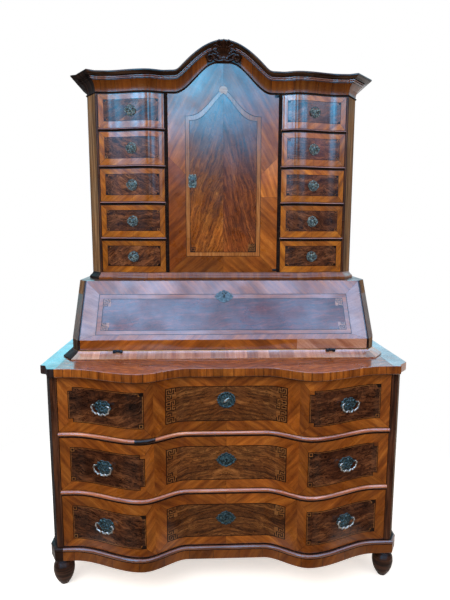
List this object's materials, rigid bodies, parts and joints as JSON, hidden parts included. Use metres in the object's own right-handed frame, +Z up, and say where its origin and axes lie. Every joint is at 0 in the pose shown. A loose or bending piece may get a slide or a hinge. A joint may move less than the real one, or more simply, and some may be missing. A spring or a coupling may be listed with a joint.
{
  "type": "bureau cabinet",
  "caption": "Baroque bureau cabinet: double-bulged chest of long drawers, slant-front desk, and upper cabinet with an arched door between columns of small drawers.",
  "frame": {"origin": "on the floor under the middle of the bounding box", "axes": "+X to the right of a person facing the front, -Y to the front, +Z up"},
  "size_m": [1.3, 0.6903, 2.0143],
  "materials": {
    "burr_veneer": "burr walnut veneer, glossy shellac",
    "banding_veneer": "cross-banded fruitwood and walnut, glossy shellac",
    "dark_wood": "dark stained walnut, satin",
    "carcass_wood": "plain softwood",
    "carved_wood": "carved walnut, satin",
    "pull_metal": "patinated brass",
    "handle_metal": "patinated, worn bright"
  },
  "bodies": {
    "case": {"commode_top": "banding_veneer", "commode_side_left": "dark_wood", "commode_side_right": "dark_wood", "commode_back": "carcass_wood", "plinth": "banding_veneer", "base_board": "carcass_wood", "upper_dust_board": "banding_veneer", "lower_dust_board": "banding_veneer", "foot_front_left": "dark_wood", "foot_back_left": "dark_wood", "foot_front_right": "dark_wood", "foot_back_right": "dark_wood", "desk_side_left": "dark_wood", "desk_side_right": "dark_wood", "desk_back": "carcass_wood", "desk_bed": "carcass_wood", "desk_top": "carcass_wood", "desk_moulding": "banding_veneer", "cabinet_base": "banding_veneer", "cabinet_side_left": "dark_wood", "cabinet_side_right": "dark_wood", "cabinet_back": "carcass_wood", "drawer_nest_left": "banding_veneer", "drawer_nest_right": "banding_veneer", "cabinet_top": "carcass_wood", "cornice": "banding_veneer", "crest_carving": "carved_wood"},
    "long_drawer_1": {"long_drawer_1": "burr_veneer"},
    "long_bail_1_left": {"long_bail_1_left": "handle_metal"},
    "long_bail_1_right": {"long_bail_1_right": "handle_metal"},
    "long_drawer_2": {"long_drawer_2": "burr_veneer"},
    "long_bail_2_left": {"long_bail_2_left": "handle_metal"},
    "long_bail_2_right": {"long_bail_2_right": "handle_metal"},
    "long_drawer_3": {"long_drawer_3": "burr_veneer"},
    "long_bail_3_left": {"long_bail_3_left": "handle_metal"},
    "long_bail_3_right": {"long_bail_3_right": "handle_metal"},
    "small_drawer_left_1": {"small_drawer_left_1": "burr_veneer"},
    "small_bail_left_1": {"small_bail_left_1": "pull_metal"},
    "small_drawer_left_2": {"small_drawer_left_2": "burr_veneer"},
    "small_bail_left_2": {"small_bail_left_2": "pull_metal"},
    "small_drawer_left_3": {"small_drawer_left_3": "burr_veneer"},
    "small_bail_left_3": {"small_bail_left_3": "pull_metal"},
    "small_drawer_left_4": {"small_drawer_left_4": "burr_veneer"},
    "small_bail_left_4": {"small_bail_left_4": "pull_metal"},
    "small_drawer_left_5": {"small_drawer_left_5": "burr_veneer"},
    "small_bail_left_5": {"small_bail_left_5": "pull_metal"},
    "small_drawer_right_1": {"small_drawer_right_1": "burr_veneer"},
    "small_bail_right_1": {"small_bail_right_1": "pull_metal"},
    "small_drawer_right_2": {"small_drawer_right_2": "burr_veneer"},
    "small_bail_right_2": {"small_bail_right_2": "pull_metal"},
    "small_drawer_right_3": {"small_drawer_right_3": "burr_veneer"},
    "small_bail_right_3": {"small_bail_right_3": "pull_metal"},
    "small_drawer_right_4": {"small_drawer_right_4": "burr_veneer"},
    "small_bail_right_4": {"small_bail_right_4": "pull_metal"},
    "small_drawer_right_5": {"small_drawer_right_5": "burr_veneer"},
    "small_bail_right_5": {"small_bail_right_5": "pull_metal"},
    "fall_lid": {"fall_lid": "burr_veneer"},
    "fall_key": {"fall_key": "handle_metal"},
    "door": {"door": "burr_veneer"},
    "door_key": {"door_key": "handle_metal"}
  },
  "joints": [
    {"name": "long_drawer_1_slide", "type": "slide", "parent": "case", "child": "long_drawer_1", "axis": [0, -1, 0], "range_m": [0, 0.38]},
    {"name": "long_bail_1_left_swing", "type": "hinge", "parent": "long_drawer_1", "child": "long_bail_1_left", "pos_m": [-0.43083, -0.297, 0.7142], "axis": [-0.9198, 0.3923, 0], "range_deg": [0, 80]},
    {"name": "long_bail_1_right_swing", "type": "hinge", "parent": "long_drawer_1", "child": "long_bail_1_right", "pos_m": [0.43083, -0.297, 0.7142], "axis": [-0.9198, -0.3923, 0], "range_deg": [0, 80]},
    {"name": "long_drawer_2_slide", "type": "slide", "parent": "case", "child": "long_drawer_2", "axis": [0, -1, 0], "range_m": [0, 0.38]},
    {"name": "long_bail_2_left_swing", "type": "hinge", "parent": "long_drawer_2", "child": "long_bail_2_left", "pos_m": [-0.43083, -0.297, 0.4962], "axis": [-0.9198, 0.3923, 0], "range_deg": [0, 80]},
    {"name": "long_bail_2_right_swing", "type": "hinge", "parent": "long_drawer_2", "child": "long_bail_2_right", "pos_m": [0.43083, -0.297, 0.4962], "axis": [-0.9198, -0.3923, 0], "range_deg": [0, 80]},
    {"name": "long_drawer_3_slide", "type": "slide", "parent": "case", "child": "long_drawer_3", "axis": [0, -1, 0], "range_m": [0, 0.38]},
    {"name": "long_bail_3_left_swing", "type": "hinge", "parent": "long_drawer_3", "child": "long_bail_3_left", "pos_m": [-0.43083, -0.297, 0.2782], "axis": [-0.9198, 0.3923, 0], "range_deg": [0, 80]},
    {"name": "long_bail_3_right_swing", "type": "hinge", "parent": "long_drawer_3", "child": "long_bail_3_right", "pos_m": [0.43083, -0.297, 0.2782], "axis": [-0.9198, -0.3923, 0], "range_deg": [0, 80]},
    {"name": "small_drawer_left_1_slide", "type": "slide", "parent": "case", "child": "small_drawer_left_1", "axis": [0, -1, 0], "range_m": [0, 0.18]},
    {"name": "small_bail_left_1_swing", "type": "hinge", "parent": "small_drawer_left_1", "child": "small_bail_left_1", "pos_m": [-0.36034, 0.06037, 1.7676], "axis": [-0.9641, 0.2655, 0], "range_deg": [0, 80]},
    {"name": "small_drawer_left_2_slide", "type": "slide", "parent": "case", "child": "small_drawer_left_2", "axis": [0, -1, 0], "range_m": [0, 0.18]},
    {"name": "small_bail_left_2_swing", "type": "hinge", "parent": "small_drawer_left_2", "child": "small_bail_left_2", "pos_m": [-0.36034, 0.06037, 1.6274], "axis": [-0.9641, 0.2655, 0], "range_deg": [0, 80]},
    {"name": "small_drawer_left_3_slide", "type": "slide", "parent": "case", "child": "small_drawer_left_3", "axis": [0, -1, 0], "range_m": [0, 0.18]},
    {"name": "small_bail_left_3_swing", "type": "hinge", "parent": "small_drawer_left_3", "child": "small_bail_left_3", "pos_m": [-0.36034, 0.06037, 1.4872], "axis": [-0.9641, 0.2655, 0], "range_deg": [0, 80]},
    {"name": "small_drawer_left_4_slide", "type": "slide", "parent": "case", "child": "small_drawer_left_4", "axis": [0, -1, 0], "range_m": [0, 0.18]},
    {"name": "small_bail_left_4_swing", "type": "hinge", "parent": "small_drawer_left_4", "child": "small_bail_left_4", "pos_m": [-0.36034, 0.06037, 1.347], "axis": [-0.9641, 0.2655, 0], "range_deg": [0, 80]},
    {"name": "small_drawer_left_5_slide", "type": "slide", "parent": "case", "child": "small_drawer_left_5", "axis": [0, -1, 0], "range_m": [0, 0.18]},
    {"name": "small_bail_left_5_swing", "type": "hinge", "parent": "small_drawer_left_5", "child": "small_bail_left_5", "pos_m": [-0.36034, 0.06037, 1.2068], "axis": [-0.9641, 0.2655, 0], "range_deg": [0, 80]},
    {"name": "small_drawer_right_1_slide", "type": "slide", "parent": "case", "child": "small_drawer_right_1", "axis": [0, -1, 0], "range_m": [0, 0.18]},
    {"name": "small_bail_right_1_swing", "type": "hinge", "parent": "small_drawer_right_1", "child": "small_bail_right_1", "pos_m": [0.36034, 0.06037, 1.7676], "axis": [-0.9641, -0.2655, 0], "range_deg": [0, 80]},
    {"name": "small_drawer_right_2_slide", "type": "slide", "parent": "case", "child": "small_drawer_right_2", "axis": [0, -1, 0], "range_m": [0, 0.18]},
    {"name": "small_bail_right_2_swing", "type": "hinge", "parent": "small_drawer_right_2", "child": "small_bail_right_2", "pos_m": [0.36034, 0.06037, 1.6274], "axis": [-0.9641, -0.2655, 0], "range_deg": [0, 80]},
    {"name": "small_drawer_right_3_slide", "type": "slide", "parent": "case", "child": "small_drawer_right_3", "axis": [0, -1, 0], "range_m": [0, 0.18]},
    {"name": "small_bail_right_3_swing", "type": "hinge", "parent": "small_drawer_right_3", "child": "small_bail_right_3", "pos_m": [0.36034, 0.06037, 1.4872], "axis": [-0.9641, -0.2655, 0], "range_deg": [0, 80]},
    {"name": "small_drawer_right_4_slide", "type": "slide", "parent": "case", "child": "small_drawer_right_4", "axis": [0, -1, 0], "range_m": [0, 0.18]},
    {"name": "small_bail_right_4_swing", "type": "hinge", "parent": "small_drawer_right_4", "child": "small_bail_right_4", "pos_m": [0.36034, 0.06037, 1.347], "axis": [-0.9641, -0.2655, 0], "range_deg": [0, 80]},
    {"name": "small_drawer_right_5_slide", "type": "slide", "parent": "case", "child": "small_drawer_right_5", "axis": [0, -1, 0], "range_m": [0, 0.18]},
    {"name": "small_bail_right_5_swing", "type": "hinge", "parent": "small_drawer_right_5", "child": "small_bail_right_5", "pos_m": [0.36034, 0.06037, 1.2068], "axis": [-0.9641, -0.2655, 0], "range_deg": [0, 80]},
    {"name": "fall_hinge", "type": "hinge", "parent": "case", "child": "fall_lid", "pos_m": [0, -0.134, 0.868], "axis": [1, 0, 0], "range_deg": [0, 125]},
    {"name": "door_hinge", "type": "hinge", "parent": "case", "child": "door", "pos_m": [0.2055, 0.078, 1.136], "axis": [0, 0, 1], "range_deg": [0, 90]},
    {"name": "fall_key_turn", "type": "hinge", "parent": "fall_lid", "child": "fall_key", "pos_m": [0, -0.02713, 1.05179], "axis": [0, -0.8173, 0.5762], "range_deg": [0, 90]},
    {"name": "door_key_turn", "type": "hinge", "parent": "door", "child": "door_key", "pos_m": [-0.1215, 0.074, 1.497], "axis": [0, -1, 0], "range_deg": [0, 90]}
  ]
}
